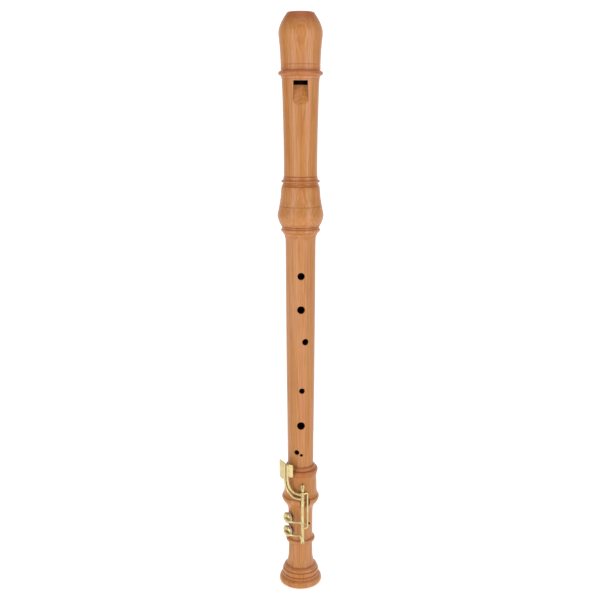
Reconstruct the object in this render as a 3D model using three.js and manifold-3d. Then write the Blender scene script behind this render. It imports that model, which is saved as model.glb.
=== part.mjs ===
// Tenor recorder with a double key, in millimetres.
// Z is the bore axis. Z = 0 is the flat end of the bell, and +Z points to the beak.
// The front, with the window and the finger holes, faces -Y. The player's left is +X.
// Angles round the bore are in degrees, from the front towards -X.
import * as THREE from 'three';
import * as BufferGeometryUtils from 'three/addons/utils/BufferGeometryUtils.js';
import Module from 'manifold-3d';

// Lengths along the bore
const LENGTH = 640;
const FOOT_TOP = 147;
const HEAD_BOTTOM = 442;
const TENON = 27;
const END_GAP = 0.3;

// Bore, sockets and tenons
const HEAD_BORE = 10.25;
const MIDDLE_BORE_TOP = 10;
const MIDDLE_BORE_BOTTOM = 7.3;
const FOOT_BORE_TOP = 7.6;
const FOOT_BORE_WAIST = 7;
const BELL_MOUTH = 8;
const UPPER_SOCKET = 14.3;
const LOWER_SOCKET = 12.6;
const TENON_CLEARANCE = 0.4;
const CORK_CLEARANCE = 0.3;
const CORK_THICKNESS = 0.6;
const CORK_INSET = 5;
const CORK_LENGTH = 18;

// Window and windway
const WINDOW_TOP = 572;
const WINDOW_BOTTOM = 567.6;
const RAMP_BOTTOM = 547;
const WINDOW_WIDTH = 15;
const RAMP_FOOT_WIDTH = 16.8;
const RAMP_FOOT_DEPTH = 18.9;
const WINDWAY_WIDTH = 14.5;
const WINDWAY_FLOOR = 10;
const WINDWAY_ROOF = 11.3;
const LIP_DEPTH = 11;
const WINDOW_FLOOR = 7.3;
const BLOCK_CLEARANCE = 0.3;

// Beak
const BEAK_RADIUS = 75;
const BEAK_TIP_DEPTH = 4;
const BEAK_BACK = 22;
const BEAK_LENGTH = 48;

// Key hinge
const HINGE_ANGLE = -6;
const HINGE_RADIUS = 21.5;
const ROD = 0.9;
const TUBE = 1.7;
const TUBE_COLLAR = 2.1;
const TUBE_BORE = 1;
const TUBE_GAP = 0.35;
const ARM = 1.4;
const PAD_ARM = 1.25;
const SIDE_BAR = 1.05;
const OPEN_ANGLE = 7;
const JOINT_GAP = 0.75;

// Heights of the key work
const UPPER_POST = { bottom: 120.6, top: 129.5, wood: 18.4, stem: 15.3 };
const LOWER_POST = { bottom: 57.7, top: 63.9, wood: 15.2, stem: 10.5 };
const POST_RADIUS = 2.2;
const POST_HOLE = 1.5;
const COLLAR_LENGTH = 1.5;
const HEEL_HEIGHT = 107.5;
const TUBE_TOPS = { upper: 120.2, long: 114.5, lower: 81.5 };
const LOWER_TUBE_BOTTOM = 64.3;
const SIDE_BAR_TOP = 118.6;
const SIDE_BAR_BOTTOM = 76.2;
const SIDE_BAR_PLACE = { x: 7.8, y: -19.1 };
const NOTCH_FLOOR = 18.3;
const NOTCH_BOTTOM = 100.5;
const NOTCH_TOP = 113.5;

// Touch plates
const TOUCH_RADIUS = 24.5;
const TOUCH_THICKNESS = 1.2;
const SPRING_THICKNESS = 0.35;
const SPRING_WIDTH = 2;

// Pads and cups
const PAD_ANGLE = 60;
const PAD_HEIGHTS = { sharp: 83.5, natural: 67.2 };
const PAD_RADIUS = 5.4;
const PAD_THICKNESS = 3.4;
const CUP_RADIUS = 6.8;
const CUP_WALL = 0.7;
const CUP_SIDE = 0.8;
const CUP_DOME = 3;
const PAD_SHOWING = 2.4;
const SEAT_DEPTH = 12.5;
const SEAT_RADIUS = 7;
const TONE_HOLE = 3.2;
const SEAT_GAP = 0.3;

// Facets
const WOOD_FACETS = 32;
const ROUND_FACETS = 12;
const HOLE_FACETS = 16;

const WOOD = { color: 0xc68a5a, roughness: 0.45, metalness: 0 };
const CEDAR = { color: 0xb5764a, roughness: 0.7, metalness: 0 };
const CORK = { color: 0xb98a5c, roughness: 0.9, metalness: 0 };
const BRASS = { color: 0xe0cb95, roughness: 0.25, metalness: 1 };
const STEEL = { color: 0xc4c6c8, roughness: 0.3, metalness: 1 };
const LEATHER = { color: 0xe9d9c0, roughness: 0.8, metalness: 0 };
const FELT = { color: 0x2c3226, roughness: 1, metalness: 0 };

const wasm = await Module();
wasm.setup();

const radians = THREE.MathUtils.degToRad;
const recorder = new THREE.Group();

// A named mesh, added to its parent group.
function piece(name, geometry, finish, parent = recorder) {
  const mesh = new THREE.Mesh(geometry, new THREE.MeshStandardMaterial(finish));
  mesh.name = name;
  parent.add(mesh);
  return mesh;
}

// The point at an angle round the bore, a radius and a height.
function around(angle, radius, z) {
  const a = radians(angle);
  return new THREE.Vector3(-radius * Math.sin(a), -radius * Math.cos(a), z);
}

function toSolid(geometry) {
  const bare = geometry.clone();
  bare.deleteAttribute('normal');
  bare.deleteAttribute('uv');
  const merged = BufferGeometryUtils.mergeVertices(bare, 1e-4);
  return new wasm.Manifold(new wasm.Mesh({
    numProp: 3,
    vertProperties: new Float32Array(merged.attributes.position.array),
    triVerts: new Uint32Array(merged.index.array),
  }));
}

function toGeometry(solid) {
  const mesh = solid.getMesh();
  const geometry = new THREE.BufferGeometry();
  geometry.setAttribute('position', new THREE.BufferAttribute(mesh.vertProperties, 3));
  geometry.setIndex(new THREE.BufferAttribute(mesh.triVerts, 1));
  geometry.computeVertexNormals();
  return geometry;
}

// The geometry with every tool cut out of it.
function cut(geometry, tools) {
  return toGeometry(tools.reduce((solid, tool) => solid.subtract(toSolid(tool)), toSolid(geometry)));
}

function join(geometry, others) {
  return toGeometry(others.reduce((solid, other) => solid.add(toSolid(other)), toSolid(geometry)));
}

// A profile of [radius, height] points turned round Z and closed on itself.
function turned(profile, facets = WOOD_FACETS) {
  const points = [...profile, profile[0]].map(([r, z]) => new THREE.Vector2(r, z));
  return new THREE.LatheGeometry(points, facets).rotateX(Math.PI / 2);
}

// A smooth curve through a few [radius, height] points.
function smooth(points, steps) {
  const curve = new THREE.SplineCurve(points.map(([r, z]) => new THREE.Vector2(r, z)));
  return curve.getPoints(steps).map((p) => [p.x, p.y]);
}

// A half-round bead that starts and ends at the given radii and stands out to its crest.
function bead(bottom, top, startRadius, endRadius, crest) {
  const steps = 5;
  const points = [];
  for (let i = 0; i <= steps; i += 1) {
    const t = i / steps;
    const base = startRadius + (endRadius - startRadius) * t;
    const swell = Math.sin(Math.PI * t) ** 0.75;
    points.push([base + (crest - base) * swell, bottom + ((top - bottom) * (1 - Math.cos(Math.PI * t))) / 2]);
  }
  return points;
}

// A round bar along the bore's radius, between two radii.
function radialBar(angle, z, inner, outer, radius, facets = HOLE_FACETS) {
  const middle = around(angle, (inner + outer) / 2, z);
  return new THREE.CylinderGeometry(radius, radius, outer - inner, facets)
    .rotateZ(-radians(angle))
    .translate(middle.x, middle.y, middle.z);
}

// A curved plate: a strip of even thickness between two angles, with its outer face going
// from one radius to the other, standing between two heights.
function curvedPlate(from, to, bottom, top, thickness) {
  const steps = 6;
  const outer = [];
  const inner = [];
  for (let i = 0; i <= steps; i += 1) {
    const angle = from.angle + ((to.angle - from.angle) * i) / steps;
    const radius = from.radius + ((to.radius - from.radius) * i) / steps;
    outer.push(around(angle, radius, 0));
    inner.unshift(around(angle, radius - thickness, 0));
  }
  const shape = new THREE.Shape([...outer, ...inner].map((p) => new THREE.Vector2(p.x, p.y)));
  return new THREE.ExtrudeGeometry(shape, { depth: top - bottom, bevelEnabled: false })
    .translate(0, 0, bottom);
}

// A round bar bent smoothly through a few points.
function bentBar(points, radius, steps) {
  const shape = new THREE.Shape().absarc(0, 0, radius, 0, 2 * Math.PI);
  const path = new THREE.CatmullRomCurve3(points, false, 'catmullrom');
  return new THREE.ExtrudeGeometry(shape, { extrudePath: path, steps, curveSegments: 4 });
}

// A [y, z] outline with a width along X.
function across(outline, width) {
  const shape = new THREE.Shape(outline.map(([y, z]) => new THREE.Vector2(y, z)));
  const turn = new THREE.Matrix4().makeBasis(
    new THREE.Vector3(0, 1, 0), new THREE.Vector3(0, 0, 1), new THREE.Vector3(1, 0, 0));
  return new THREE.ExtrudeGeometry(shape, { depth: width, bevelEnabled: false })
    .translate(0, 0, -width / 2)
    .applyMatrix4(turn);
}

// The concave cut at the back of the beak: a large cylinder across the instrument, through
// the tip and through the back of the head.
function beakCutter() {
  const tip = new THREE.Vector2(-BEAK_TIP_DEPTH, LENGTH);
  const back = new THREE.Vector2(BEAK_BACK, LENGTH - BEAK_LENGTH);
  const chord = back.clone().sub(tip);
  const rise = Math.sqrt(BEAK_RADIUS ** 2 - chord.lengthSq() / 4);
  const centre = tip.add(back).multiplyScalar(0.5)
    .add(new THREE.Vector2(-chord.y, chord.x).normalize().multiplyScalar(rise));
  return new THREE.CylinderGeometry(BEAK_RADIUS, BEAK_RADIUS, 60, 96)
    .rotateZ(Math.PI / 2)
    .translate(0, centre.x, centre.y);
}

// The window and the ramp below its lip. The ramp grows wider towards its foot.
function windowCutter() {
  const outside = -30;
  const window = across([
    [outside, WINDOW_TOP],
    [-WINDOW_FLOOR, WINDOW_TOP],
    [-WINDOW_FLOOR, WINDOW_BOTTOM],
    [-LIP_DEPTH, WINDOW_BOTTOM],
    [-RAMP_FOOT_DEPTH, RAMP_BOTTOM],
    [outside, RAMP_BOTTOM],
    [outside, WINDOW_BOTTOM],
  ], WINDOW_WIDTH);
  const corners = window.attributes.position;
  const flare = RAMP_FOOT_WIDTH / WINDOW_WIDTH;
  for (let i = 0; i < corners.count; i += 1) {
    if (corners.getZ(i) < WINDOW_BOTTOM - 1) corners.setX(i, corners.getX(i) * flare);
  }
  return window;
}

function headJoint() {
  const profile = [
    ...smooth([[22.9, HEAD_BOTTOM], [21.4, 451], [20.9, 458], [20.4, 462.7]], 6),
    [19.8, 463.1],
    [19.7, 463.7],
    ...smooth([[20, 463.9], [19, 465.2], [18.6, 466.9]], 3),
    ...bead(467.1, 469.9, 18.9, 18.4, 20.6),
    [18.3, 472.9],
    [17.6, 473.6],
    ...smooth([[17.8, 474.6], [17.75, 492], [18.2, 522], [19, 555], [19.7, 571], [20.6, 576.6]], 10),
    ...bead(577.2, 581.8, 20.9, 20.9, 23.4),
    ...smooth([[20.6, 582.6], [20.7, 591], [21.5, 604], [22.9, 617]], 6),
    ...smooth([[22.9, 617], [22.8, 621.6], [21.6, 626.5], [18.9, 632.4], [14.7, 639.2]], 6).slice(1),
    [13.9, LENGTH],
  ];
  const shoulder = HEAD_BOTTOM + TENON + 2 * END_GAP;
  const wall = turned([
    ...profile,
    [HEAD_BORE, LENGTH],
    [HEAD_BORE, shoulder],
    [UPPER_SOCKET, shoulder],
    [UPPER_SOCKET, HEAD_BOTTOM],
  ]);
  const windway = new THREE.BoxGeometry(WINDWAY_WIDTH, WINDWAY_ROOF, LENGTH - WINDOW_TOP + 2)
    .translate(0, -WINDWAY_ROOF / 2, (LENGTH + WINDOW_TOP) / 2 + 1);
  return cut(wall, [windway, windowCutter(), beakCutter()]);
}

// The plug in the head: a round body with a raised flat that makes the windway's floor.
function block() {
  const bottom = WINDOW_TOP + BLOCK_CLEARANCE;
  const height = LENGTH - bottom;
  const radius = HEAD_BORE - 2 * BLOCK_CLEARANCE;
  const body = new THREE.CylinderGeometry(radius, radius, height, WOOD_FACETS)
    .rotateX(Math.PI / 2)
    .translate(0, 0, bottom + height / 2);
  const floor = new THREE.BoxGeometry(WINDWAY_WIDTH - 2 * BLOCK_CLEARANCE, WINDWAY_FLOOR, height)
    .translate(0, -WINDWAY_FLOOR / 2, bottom + height / 2);
  return cut(join(body, [floor]), [beakCutter()]);
}

// Two holes for the ring finger of the lower hand, single holes for the rest, and the thumb
// hole at the back.
const FINGER_HOLES = [
  { angle: -2, z: 367.7, radius: 3.9 },
  { angle: -2, z: 330.6, radius: 4.2 },
  { angle: -20, z: 294.4, radius: 3.6 },
  { angle: -6, z: 238.2, radius: 3.1 },
  { angle: -2, z: 197.2, radius: 4.4 },
  { angle: 17, z: 165.2, radius: 2.8 },
  { angle: -4, z: 162, radius: 1.6 },
  { angle: 180, z: 392, radius: 3.4 },
];

// A tenon seen from its open end to its shoulder, with the groove for its cork.
function tenonProfile(endHeight, shoulderHeight, socket) {
  const side = Math.sign(shoulderHeight - endHeight);
  const rim = socket - TENON_CLEARANCE;
  const groove = socket - CORK_CLEARANCE - CORK_THICKNESS - CORK_CLEARANCE;
  const grooveEnd = endHeight + side * (CORK_INSET - CORK_CLEARANCE);
  const grooveShoulder = endHeight + side * (CORK_INSET + CORK_LENGTH + CORK_CLEARANCE);
  return [
    [rim, endHeight],
    [rim, grooveEnd],
    [groove, grooveEnd],
    [groove, grooveShoulder],
    [rim, grooveShoulder],
    [rim, shoulderHeight],
  ];
}

function middleJoint() {
  const top = HEAD_BOTTOM + TENON;
  const bottom = FOOT_TOP - TENON;
  const shoulder = HEAD_BOTTOM - END_GAP;
  const wall = turned([
    ...tenonProfile(bottom, FOOT_TOP + END_GAP, LOWER_SOCKET),
    ...smooth([[14.5, FOOT_TOP + END_GAP], [14.8, 180], [15.5, 255], [16, 331], [16.2, 392], [16.4, 407]], 7),
    [17.8, 411.6],
    [19.2, 413.7],
    ...bead(414.4, 417.9, 19.6, 19.9, 21),
    [20.1, 419.9],
    [19.8, 420.4],
    [21.2, 420.9],
    [21.4, 422.4],
    ...smooth([[22.3, 423.1], [24.7, 431.6], [22.9, shoulder]], 8),
    ...tenonProfile(top, shoulder, UPPER_SOCKET).reverse(),
    [MIDDLE_BORE_TOP, top],
    [MIDDLE_BORE_BOTTOM, bottom],
  ]);
  const holes = FINGER_HOLES.map((hole) => radialBar(hole.angle, hole.z, 4, 22, hole.radius));
  return cut(wall, holes);
}

// The lapping on a tenon, between the groove's floor and the socket's wall.
function tenonCork(endHeight, shoulderHeight, socket) {
  const side = Math.sign(shoulderHeight - endHeight);
  const ends = [endHeight + side * CORK_INSET, endHeight + side * (CORK_INSET + CORK_LENGTH)];
  const bottom = Math.min(...ends);
  const top = Math.max(...ends);
  const outer = socket - CORK_CLEARANCE;
  const inner = outer - CORK_THICKNESS;
  return turned([[inner, bottom], [outer, bottom], [outer, top], [inner, top]]);
}

function footJoint() {
  const profile = [
    ...smooth([[22, 0], [23.7, 1.2], [24.4, 3.4], [23.6, 6.6], [21.5, 8.4]], 6),
    [21.2, 11.6],
    ...bead(11.9, 17.2, 20.3, 19.3, 20.7),
    ...smooth([[19.7, 17.6], [18.6, 20.4], [15.9, 22]], 3),
    ...smooth([[15.6, 22.4], [14.1, 32], [13.7, 44], [13.6, 51]], 4),
    ...bead(51.8, 56.6, 14.2, 15.2, 16.7),
    ...smooth([[15.4, 57], [13.9, 60.5], [13.9, 75], [14, 88], [14.8, 94.5], [17.6, 99.6]], 8),
    ...smooth([[17.6, 99.6], [19.4, 101.9], [20.8, 104.4], [21.3, 106.8], [20.7, 108.8]], 8).slice(1),
    [20, 109.3],
    ...smooth([[20.3, 109.8], [18.7, 114], [18.4, 126], [18.1, 131], [18.9, 137]], 6),
    ...bead(137.6, 142.8, 18.9, 17.6, 19.7),
    ...smooth([[17.2, 143.2], [16.7, 145.4], [14.8, FOOT_TOP]], 4),
  ];
  const shoulder = FOOT_TOP - TENON - END_GAP;
  const wall = turned([
    ...profile,
    [LOWER_SOCKET, FOOT_TOP],
    [LOWER_SOCKET, shoulder],
    [FOOT_BORE_TOP, shoulder],
    [FOOT_BORE_WAIST, 45],
    [BELL_MOUTH, 0],
  ]);
  const clear = 26;
  const notch = curvedPlate({ angle: 0.5, radius: clear }, { angle: -31, radius: clear },
    NOTCH_BOTTOM, NOTCH_TOP, clear - NOTCH_FLOOR);
  const seats = Object.values(PAD_HEIGHTS).flatMap((z) => [
    radialBar(PAD_ANGLE, z, SEAT_DEPTH, 20, SEAT_RADIUS),
    radialBar(PAD_ANGLE, z, 4, 20, TONE_HOLE),
  ]);
  const stemHoles = [UPPER_POST, LOWER_POST].map((place) => radialBar(
    HINGE_ANGLE, (place.bottom + place.top) / 2, place.stem - SEAT_GAP, 24, POST_HOLE));
  return cut(wall, [notch, ...seats, ...stemHoles]);
}

const hinge = around(HINGE_ANGLE, HINGE_RADIUS, 0);

function alongHinge(radius, bottom, top, facets = ROUND_FACETS) {
  return new THREE.CylinderGeometry(radius, radius, top - bottom, facets)
    .rotateX(Math.PI / 2)
    .translate(hinge.x, hinge.y, (top + bottom) / 2);
}

// A post: a barrel round the rod, a neck, a collar on the wood and a stem in it.
function post({ bottom, top, wood, stem }) {
  const z = (bottom + top) / 2;
  const foot = wood + 0.35;
  const collar = 2.4;
  const neck = 1.6;
  const parts = [
    radialBar(HINGE_ANGLE, z, foot, HINGE_RADIUS, neck, ROUND_FACETS),
    radialBar(HINGE_ANGLE, z, foot, foot + 0.6, collar, ROUND_FACETS),
    radialBar(HINGE_ANGLE, z, stem, foot + 0.2, POST_HOLE - SEAT_GAP, ROUND_FACETS),
  ];
  const rodHole = alongHinge(ROD + SEAT_GAP, bottom - 1, top + 1);
  return cut(join(alongHinge(POST_RADIUS, bottom, top), parts), [rodHole]);
}

// The steel rod that both keys turn on, with a screwdriver slot in its upper end.
function hingeRod() {
  const top = UPPER_POST.top - 0.2;
  const slot = new THREE.BoxGeometry(0.4, 3, 1).translate(hinge.x, hinge.y, top);
  return cut(alongHinge(ROD, LOWER_POST.bottom, top), [slot]);
}

// A hinge tube with a collar at each end, bored for the rod. Anything joined to it is bored too.
function hingeTube(bottom, top, others = []) {
  const collars = [
    alongHinge(TUBE_COLLAR, bottom, bottom + COLLAR_LENGTH),
    alongHinge(TUBE_COLLAR, top - COLLAR_LENGTH, top),
  ];
  const bore = alongHinge(TUBE_BORE, bottom - 1, top + 1);
  return cut(join(alongHinge(TUBE, bottom + 0.2, top - 0.2), [...collars, ...others]), [bore]);
}

// A small heel on the sharp key's tube that meets the stop cork when the key stands open.
function heel() {
  return new THREE.BoxGeometry(1.3, 2, 2.4)
    .rotateZ(radians(138))
    .translate(hinge.x + 0.98, hinge.y + 1.09, HEEL_HEIGHT);
}

// The cup over a pad: a domed shell, open towards the pad, with its axis along local Y.
function cupGeometry() {
  const outer = [];
  const inner = [];
  const steps = 5;
  for (let i = 0; i <= steps; i += 1) {
    const t = (i / steps) * (Math.PI / 2);
    const spread = Math.cos(t) ** 0.6;
    outer.push([CUP_RADIUS * spread, CUP_SIDE + (CUP_DOME - CUP_SIDE) * Math.sin(t)]);
    inner.unshift([
      (CUP_RADIUS - CUP_WALL) * spread,
      CUP_SIDE + (CUP_DOME - CUP_WALL - CUP_SIDE) * Math.sin(t),
    ]);
  }
  const innerRim = [CUP_RADIUS - CUP_WALL, 0];
  const profile = [innerRim, [CUP_RADIUS, 0], ...outer, ...inner, innerRim];
  const points = profile.map(([r, h]) => new THREE.Vector2(Math.max(r, 0), h));
  return new THREE.LatheGeometry(points, HOLE_FACETS);
}

function padGeometry() {
  return new THREE.CylinderGeometry(PAD_RADIUS, PAD_RADIUS, PAD_THICKNESS, HOLE_FACETS);
}

// A group whose contents are laid out with the key closed, turned open about the hinge.
function openedFromClosed(parent) {
  const group = new THREE.Group();
  group.position.set(hinge.x, hinge.y, 0);
  group.rotation.z = radians(OPEN_ANGLE);
  const closed = new THREE.Group();
  closed.position.set(-hinge.x, -hinge.y, 0);
  group.add(closed);
  parent.add(group);
  return closed;
}

// Places a mesh so that its local Y axis points straight out from the bore.
function faceOut(mesh, angle, radius, z) {
  mesh.position.copy(around(angle, radius, z));
  mesh.quaternion.setFromUnitVectors(new THREE.Vector3(0, 1, 0), around(angle, 1, 0));
}

function padAndCup(name, z) {
  const closed = openedFromClosed(recorder);
  const face = SEAT_DEPTH + SEAT_GAP;
  faceOut(piece(`${name}_pad`, padGeometry(), LEATHER, closed), PAD_ANGLE, face + PAD_THICKNESS / 2, z);
  faceOut(piece(`${name}_cup`, cupGeometry(), BRASS, closed), PAD_ANGLE, face + PAD_SHOWING, z);
}

// The bar from a hinge tube over the cup's dome.
function padArm(z) {
  const points = [
    new THREE.Vector3(hinge.x - TUBE - JOINT_GAP, hinge.y - 0.3, z),
    new THREE.Vector3(-6.5, -21.6, z),
    new THREE.Vector3(-13.5, -18.9, z),
    new THREE.Vector3(-18.4, -12.4, z),
  ];
  return bentBar(points, PAD_ARM, 10);
}

// The J-shaped bar along a touch plate's inner edge and round to its hinge tube. A route is a few
// [angle, radius, height] points.
function touchArm(route, tubeHeight) {
  const bend = route.map(([angle, radius, z]) => around(angle, radius, z));
  const end = new THREE.Vector3(hinge.x - TUBE - JOINT_GAP, hinge.y - 0.2, tubeHeight);
  return bentBar([...bend, end], ARM, 16);
}

function touchPlate(from, to, bottom, top) {
  return curvedPlate({ angle: from, radius: TOUCH_RADIUS }, { angle: to, radius: TOUCH_RADIUS },
    bottom, top, TOUCH_THICKNESS);
}

// A spring strip behind a touch arm, from one angle round to another.
function flatSpring(start, end, bottom) {
  const first = { angle: start, radius: 21.2 };
  const last = { angle: end, radius: 20.7 };
  return curvedPlate(first, last, bottom, bottom + SPRING_WIDTH, SPRING_THICKNESS);
}

// The bar beside the sharp key's tube that joins the natural key's two tubes.
function sideBar() {
  const { x, y } = SIDE_BAR_PLACE;
  const start = hinge.x + TUBE + JOINT_GAP;
  const corner = 0.7;
  const bend = 2.5;
  const halfWay = (SIDE_BAR_TOP + SIDE_BAR_BOTTOM) / 2;
  return bentBar([
    new THREE.Vector3(start, hinge.y + 0.1, SIDE_BAR_TOP - 0.3),
    new THREE.Vector3(x - 2 * corner, y - 1.5 * corner, SIDE_BAR_TOP),
    new THREE.Vector3(x - 0.2, y - 0.2, SIDE_BAR_TOP - corner),
    new THREE.Vector3(x, y, SIDE_BAR_TOP - bend),
    new THREE.Vector3(x, y, halfWay),
    new THREE.Vector3(x, y, SIDE_BAR_BOTTOM + bend),
    new THREE.Vector3(x - 0.2, y - 0.2, SIDE_BAR_BOTTOM + corner),
    new THREE.Vector3(x - 2 * corner, y - 1.5 * corner, SIDE_BAR_BOTTOM),
    new THREE.Vector3(start, hinge.y + 0.1, SIDE_BAR_BOTTOM),
  ], SIDE_BAR, 32);
}

// The upper key closes the upper pad. Its touch is the outer, wider plate.
function sharpKey() {
  piece('low_c_sharp_touch', touchPlate(80, 50.7, 133, 154.5), BRASS);
  const route = [[46.5, 24.1, 153], [46.5, 24.1, 145], [46.5, 24.1, 138], [46, 24.1, 131.5],
    [41.7, 23.8, 124.6], [30.5, 23.5, 118.4], [15.6, 22.9, 113.9]];
  piece('low_c_sharp_arm', touchArm(route, 112), BRASS);
  piece('low_c_sharp_tube', hingeTube(TUBE_TOPS.lower + TUBE_GAP, TUBE_TOPS.long, [heel()]), BRASS);
  piece('low_c_sharp_pad_arm', padArm(PAD_HEIGHTS.sharp), BRASS);
  padAndCup('low_c_sharp', PAD_HEIGHTS.sharp);
  piece('low_c_sharp_spring', flatSpring(27, 12, 113), STEEL);
}

// The lower key closes the lower pad.
function naturalKey() {
  piece('low_c_touch', touchPlate(33.5, 20.5, 138.5, 153.6), BRASS);
  const route = [[37.7, 24, 152.4], [37.7, 24, 145], [37.7, 24, 138], [37, 24, 132.5], [32.6, 23.8, 126.4],
    [23.3, 23.4, 122.2], [13.6, 22.9, 119.2]];
  piece('low_c_arm', touchArm(route, 117.4), BRASS);
  piece('low_c_upper_tube', hingeTube(TUBE_TOPS.long + TUBE_GAP, TUBE_TOPS.upper), BRASS);
  piece('low_c_lower_tube', hingeTube(LOWER_TUBE_BOTTOM, TUBE_TOPS.lower), BRASS);
  piece('low_c_side_bar', sideBar(), BRASS);
  piece('low_c_pad_arm', padArm(PAD_HEIGHTS.natural), BRASS);
  padAndCup('low_c', PAD_HEIGHTS.natural);
  piece('low_c_spring', flatSpring(27, 18, 119.8), STEEL);
}

// The cork under the sharp key's heel, and the felt block on the wood under the side bar.
function stops() {
  const cork = radialBar(-12.5, HEEL_HEIGHT, NOTCH_FLOOR + SEAT_GAP, 19.4, 1.3, ROUND_FACETS);
  piece('low_c_sharp_stop_cork', cork, CORK);
  const face = 19;
  const thickness = 4.6;
  const felt = curvedPlate({ angle: -30, radius: face }, { angle: -36, radius: face }, 78, 80, thickness);
  piece('low_c_bumper_felt', felt, FELT);
}

piece('head_joint', headJoint(), WOOD);
piece('block', block(), CEDAR);
piece('middle_joint', middleJoint(), WOOD);
piece('upper_tenon_cork', tenonCork(HEAD_BOTTOM + TENON, HEAD_BOTTOM, UPPER_SOCKET), CORK);
piece('lower_tenon_cork', tenonCork(FOOT_TOP - TENON, FOOT_TOP, LOWER_SOCKET), CORK);
piece('foot_joint', footJoint(), WOOD);
piece('upper_post', post(UPPER_POST), BRASS);
piece('lower_post', post(LOWER_POST), BRASS);
piece('hinge_rod', hingeRod(), STEEL);
sharpKey();
naturalKey();
stops();

export default recorder;
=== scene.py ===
"""Looks of a tenor recorder with a double key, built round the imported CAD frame.

Shapes are laid out in millimetres and become metres when a piece is made. Z is the bore axis, the front
faces -Y, and angles round the bore are in degrees from the front towards -X.
"""

import math

import bmesh
import bpy
from mathutils import Matrix, Vector


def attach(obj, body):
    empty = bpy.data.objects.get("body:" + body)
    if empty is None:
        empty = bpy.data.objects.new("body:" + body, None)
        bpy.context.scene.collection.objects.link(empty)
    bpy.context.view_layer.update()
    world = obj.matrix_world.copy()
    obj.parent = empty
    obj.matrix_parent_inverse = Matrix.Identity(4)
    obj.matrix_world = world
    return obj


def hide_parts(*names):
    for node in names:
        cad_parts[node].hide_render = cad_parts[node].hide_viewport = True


MM = 0.001

# Camera
CAMERA_PITCH = 12.5
CAMERA_DISTANCE = 934.9
CAMERA_AIM = (-0.6, 0, 338.4)
LENS = 51
SENSOR = 36

# Joints, bore and tenons
LENGTH = 640
FOOT_TOP = 147
HEAD_BOTTOM = 442
TENON = 27
END_GAP = 0.1
HEAD_BORE = 10.25
MIDDLE_BORE_TOP = 10
MIDDLE_BORE_BOTTOM = 7.3
FOOT_BORE_TOP = 7.6
FOOT_BORE_WAIST = 7
WAIST_HEIGHT = 45
BELL_MOUTH = 8
UPPER_SOCKET = 14.3
UPPER_SOCKET_ROOM = 0.6
LOWER_SOCKET = 12.6
LOWER_SOCKET_ROOM = 0.3
TENON_CLEARANCE = 0.4
CORK_CLEARANCE = 0.3
CORK_THICKNESS = 0.6
CORK_INSET = 5
CORK_LENGTH = 18

# Window, windway and beak
WINDOW_TOP = 572
WINDOW_BOTTOM = 567.6
RAMP_BOTTOM = 547
WINDOW_WIDTH = 15
RAMP_FOOT_WIDTH = 16.8
RAMP_FOOT_DEPTH = 18.9
WINDOW_FLOOR = 7.3
WINDWAY_WIDTH = 14.5
WINDWAY_FLOOR = 10
WINDWAY_ROOF = 11.3
LIP_DEPTH = 11
BLOCK_RADIUS = 10.1
BLOCK_END_GAP = 0.3
BLOCK_SIDE_GAP = 0.2
BEAK_RADIUS = 75
BEAK_TIP_DEPTH = 4
BEAK_BACK = 22
BEAK_LENGTH = 48

# Key hinge, posts, tubes and bars
HINGE_ANGLE = -6
HINGE_RADIUS = 21.5
ROD = 0.9
TUBE = 1.7
TUBE_COLLAR = 2.1
TUBE_BORE = 1
TUBE_GAP = 0.35
ARM = 1.4
PAD_ARM = 1.25
SIDE_BAR = 1.05
OPEN_ANGLE = 7
UPPER_POST = {"bottom": 120.6, "top": 129.5, "wood": 18.4}
LOWER_POST = {"bottom": 57.7, "top": 63.9, "wood": 15.2}
TUBE_TOPS = {"upper": 120.2, "long": 114.5, "lower": 81.5}
LOWER_TUBE_BOTTOM = 64.3
SIDE_BAR_TOP = 118.6
SIDE_BAR_BOTTOM = 76.2
SIDE_BAR_PLACE = (7.8, -19.1)
SIDE_BAR_BEND = 2.5
FLARE_LENGTH = 1.6

# The sharp key's heel, its stop cork, and the felt beside the side bar
HEEL_SIZE = (1.3, 2, 2.4)
HEEL_OFFSET = (0.98, 1.09)
HEEL_HEIGHT = 107.5
HEEL_TURN = 138
STOP_ANGLE = -12.5
STOP_FOOT = 17.9
STOP_FACE = 19.4
STOP_RADIUS = 1.3
FELT_START = (-30, 19)
FELT_END = (-36, 19)
FELT_BOTTOM = 78
FELT_TOP = 80
FELT_THICKNESS = 5.6

# Touches, springs, pads and cups
TOUCH_RADIUS = 24.5
TOUCH_THICKNESS = 1.2
TOUCH_EDGE = 0.35
SPRING_START_RADIUS = 21.2
SPRING_END_RADIUS = 20.7
SPRING_WIDTH = 2
SPRING_THICKNESS = 0.35
PAD_ANGLE = 60
PAD_HEIGHTS = {"sharp": 83.5, "natural": 67.2}
PAD_RADIUS = 5.6
PAD_THICKNESS = 3.4
CUP_RADIUS = 6.8
CUP_WALL = 0.7
CUP_SIDE = 0.8
CUP_DOME = 3
PAD_SHOWING = 2.4
SEAT_DEPTH = 12.5
SEAT_RADIUS = 7
SEAT_GAP = 0.3
TONE_HOLE = 3.2

# The notch in the big bead, under the keys
NOTCH_START = 0.5
NOTCH_END = -31
NOTCH_BOTTOM = 100.5
NOTCH_TOP = 113.5
NOTCH_FLOOR = 18.3

# Where cutters start near the axis, and where they end past the wood
TONE_HOLE_START = 4
FINGER_HOLE_START = 3
SEAT_OUTSIDE = 22
NOTCH_OUTSIDE = 26
CUTTER_REACH = 30

# Mesh detail
WOOD_SIDES = 96
METAL_SIDES = 32
BAR_SIDES = 20
PAD_SIDES = 56
HOLE_ROUNDING = 0.45
ROW_LENGTH = 2.5
EDGE_SHARES = (0.29, 1)
SHARP_ANGLE = 38
SLIVER = 0.004

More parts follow.
